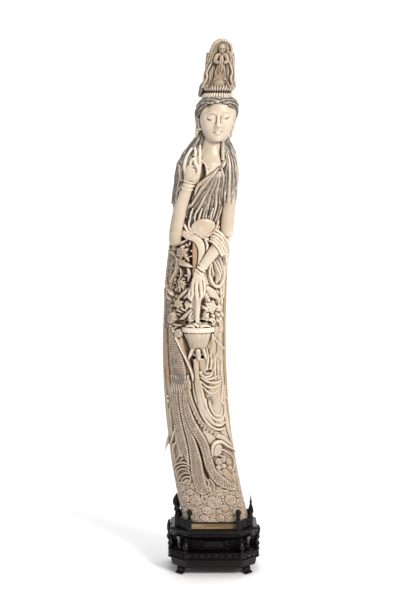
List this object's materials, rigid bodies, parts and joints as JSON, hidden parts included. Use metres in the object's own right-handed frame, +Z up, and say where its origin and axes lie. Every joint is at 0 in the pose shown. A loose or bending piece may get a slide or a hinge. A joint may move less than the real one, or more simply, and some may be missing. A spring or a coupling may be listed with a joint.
{
  "type": "carved guanyin figure on a hardwood stand",
  "caption": "Tall bowed tusk carving of a robed deity with crown and flower basket, standing on a tiered dark wood stand with a small gallery.",
  "frame": {"origin": "on the floor under the middle of the stand", "axes": "+Z up along the figure, -Y to the front that the face looks to, +X to the viewer's right"},
  "size_m": [0.1736, 0.126, 0.92],
  "materials": {
    "ivory": "aged carved ivory, soft satin, brown in the recesses",
    "hardwood": "near black red-brown hardwood, waxed to a dull gloss",
    "pale_wood": "pale tan wood, rubbed, matt"
  },
  "bodies": {
    "root": {"figure": "ivory", "seat_block": "pale_wood", "upper_tier": "hardwood", "waist": "hardwood", "lower_tier": "hardwood", "foot_front_right": "hardwood", "foot_back_right": "hardwood", "foot_back_left": "hardwood", "foot_front_left": "hardwood", "post_front_left": "hardwood", "post_front_right": "hardwood", "post_right_front": "hardwood", "post_right_back": "hardwood", "post_back_right": "hardwood", "post_back_left": "hardwood", "post_left_back": "hardwood", "post_left_front": "hardwood", "onion_front_left": "hardwood", "onion_front_right": "hardwood", "onion_right_front": "hardwood", "onion_right_back": "hardwood", "onion_back_right": "hardwood", "onion_back_left": "hardwood", "onion_left_back": "hardwood", "onion_left_front": "hardwood", "bracket_right": "hardwood", "bracket_left": "hardwood", "rail_front_right": "hardwood", "rail_right": "hardwood", "rail_back_right": "hardwood", "rail_back": "hardwood", "rail_back_left": "hardwood", "rail_left": "hardwood", "rail_front_left": "hardwood"}
  },
  "joints": []
}
